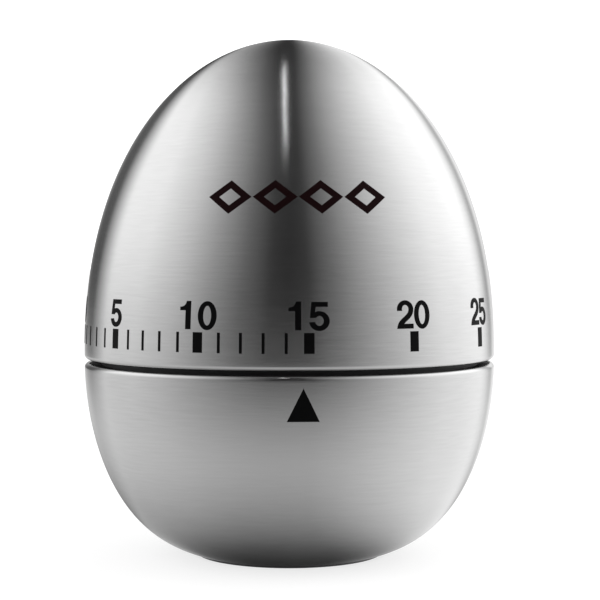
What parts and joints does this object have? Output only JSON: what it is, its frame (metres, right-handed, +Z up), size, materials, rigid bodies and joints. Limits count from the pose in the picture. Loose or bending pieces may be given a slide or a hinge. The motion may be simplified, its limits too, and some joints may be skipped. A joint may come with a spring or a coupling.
{
  "type": "kitchen timer",
  "caption": "Egg-shaped wind-up kitchen timer: a brushed steel dial turns on a steel bowl and winds a clockwork movement with balance, hammer and bell.",
  "frame": {"origin": "middle of the resting face under the egg", "axes": "+Z up along the dial's axis; the pointer on the bowl faces -Y, +X is to its right seen from the front"},
  "size_m": [0.06, 0.06, 0.0752],
  "materials": {
    "brushed_steel": "stainless sheet, brushed round the axis",
    "black_plastic": "fine moulded grain",
    "brass": "stamped, lightly brushed",
    "arbor_steel": "turned and polished",
    "spring_steel": "blued spring steel",
    "bell_steel": "nickel plated",
    "natural_acetal": "natural acetal",
    "zinc_plate": "zinc plated sheet"
  },
  "bodies": {
    "case": {"base_shell": "brushed_steel", "base_liner": "black_plastic", "base_plate": "black_plastic", "base_plate_screws": "arbor_steel", "bell": "bell_steel", "bell_post": "arbor_steel", "bell_nut": "brass", "back_plate": "zinc_plate", "front_plate": "zinc_plate", "plate_pillars": "arbor_steel", "pillar_nuts": "brass", "movement_screws": "arbor_steel", "hairspring": "spring_steel", "hairspring_stud": "brass", "balance_cock": "brass", "cock_screw": "arbor_steel", "lever_stud": "arbor_steel", "lever_spring": "spring_steel", "lever_circlip": "spring_steel"},
    "dial": {"dial_shell": "brushed_steel", "dial_liner": "black_plastic", "main_arbor": "arbor_steel", "arbor_circlip": "spring_steel", "great_wheel": "brass", "ratchet_wheel": "arbor_steel", "click_pivot": "brass", "click_spring": "spring_steel", "cam_disc": "zinc_plate"},
    "click_pawl": {"click": "arbor_steel"},
    "second_shaft": {"second_arbor": "arbor_steel", "second_wheel": "brass"},
    "third_shaft": {"third_arbor": "arbor_steel", "third_wheel": "natural_acetal"},
    "fourth_shaft": {"fourth_arbor": "natural_acetal", "fourth_wheel": "natural_acetal"},
    "escape_shaft": {"escape_arbor": "natural_acetal", "escape_wheel": "natural_acetal"},
    "balance": {"balance_staff": "arbor_steel", "pallet_anchor": "brass", "pallet_pins": "arbor_steel", "balance_wheel": "brass", "hairspring_collet": "brass"},
    "spring_barrel": {"barrel": "brass", "barrel_cover": "brass", "mainspring": "spring_steel"},
    "alarm_shaft": {"alarm_arbor": "arbor_steel", "alarm_wheel": "arbor_steel"},
    "hammer": {"hammer_arbor": "arbor_steel", "hammer_anchor": "zinc_plate", "hammer_pins": "arbor_steel", "hammer_arm": "zinc_plate", "hammer_head": "brass", "hammer_stop_crank": "zinc_plate"},
    "lever": {"release_lever": "zinc_plate"}
  },
  "joints": [
    {"name": "dial_turn", "type": "hinge", "parent": "case", "child": "dial", "pos_m": [0, 0, 0.02875], "axis": [0, 0, 1], "range_deg": [-260.64, 84.96], "deforming": ["mainspring"]},
    {"name": "click_swing", "type": "hinge", "parent": "dial", "child": "click_pawl", "pos_m": [0.0076, 0, 0.0259], "axis": [0, 0, 1], "range_deg": [-10, 0], "stiffness_Nm_per_rad": 0.0005, "springref_deg": 9.74, "deforming": ["click_spring"]},
    {"name": "second_spin", "type": "hinge", "parent": "case", "child": "second_shaft", "pos_m": [0.014, 0, 0.0273], "axis": [0, 0, 1], "continuous": true},
    {"name": "third_spin", "type": "hinge", "parent": "case", "child": "third_shaft", "pos_m": [0.01141, 0.01048, 0.0273], "axis": [0, 0, 1], "continuous": true},
    {"name": "fourth_spin", "type": "hinge", "parent": "case", "child": "fourth_shaft", "pos_m": [0.00463, 0.01635, 0.0273], "axis": [0, 0, 1], "continuous": true},
    {"name": "escape_spin", "type": "hinge", "parent": "case", "child": "escape_shaft", "pos_m": [-0.00261, 0.0183, 0.0296], "axis": [0, 0, 1], "continuous": true},
    {"name": "balance_swing", "type": "hinge", "parent": "case", "child": "balance", "pos_m": [-0.00694, 0.01486, 0.0363], "axis": [0, 0, 1], "range_deg": [-6.5, 6.5], "stiffness_Nm_per_rad": 0.000013, "deforming": ["hairspring"]},
    {"name": "barrel_turn", "type": "hinge", "parent": "case", "child": "spring_barrel", "pos_m": [0, 0, 0.0178], "axis": [0, 0, 1], "range_deg": [0, 360]},
    {"name": "alarm_spin", "type": "hinge", "parent": "case", "child": "alarm_shaft", "pos_m": [0.0068, -0.01178, 0.0273], "axis": [0, 0, 1], "continuous": true},
    {"name": "hammer_swing", "type": "hinge", "parent": "case", "child": "hammer", "pos_m": [0.00425, -0.01619, 0.0273], "axis": [0, 0, 1], "range_deg": [-4, 1.5]},
    {"name": "release_lever_lift", "type": "hinge", "parent": "case", "child": "lever", "pos_m": [-0.00975, -0.01393, 0.0347], "axis": [0, 0, 1], "range_deg": [0, 2], "stiffness_Nm_per_rad": 0.001, "springref_deg": -9.74, "deforming": ["lever_spring"]}
  ],
  "couplings": [
    {"joint": "second_spin", "follows": "dial_turn", "ratio": -6},
    {"joint": "third_spin", "follows": "dial_turn", "ratio": 30},
    {"joint": "fourth_spin", "follows": "dial_turn", "ratio": -180},
    {"joint": "escape_spin", "follows": "dial_turn", "ratio": 720},
    {"joint": "alarm_spin", "follows": "barrel_turn", "ratio": -7.5}
  ]
}
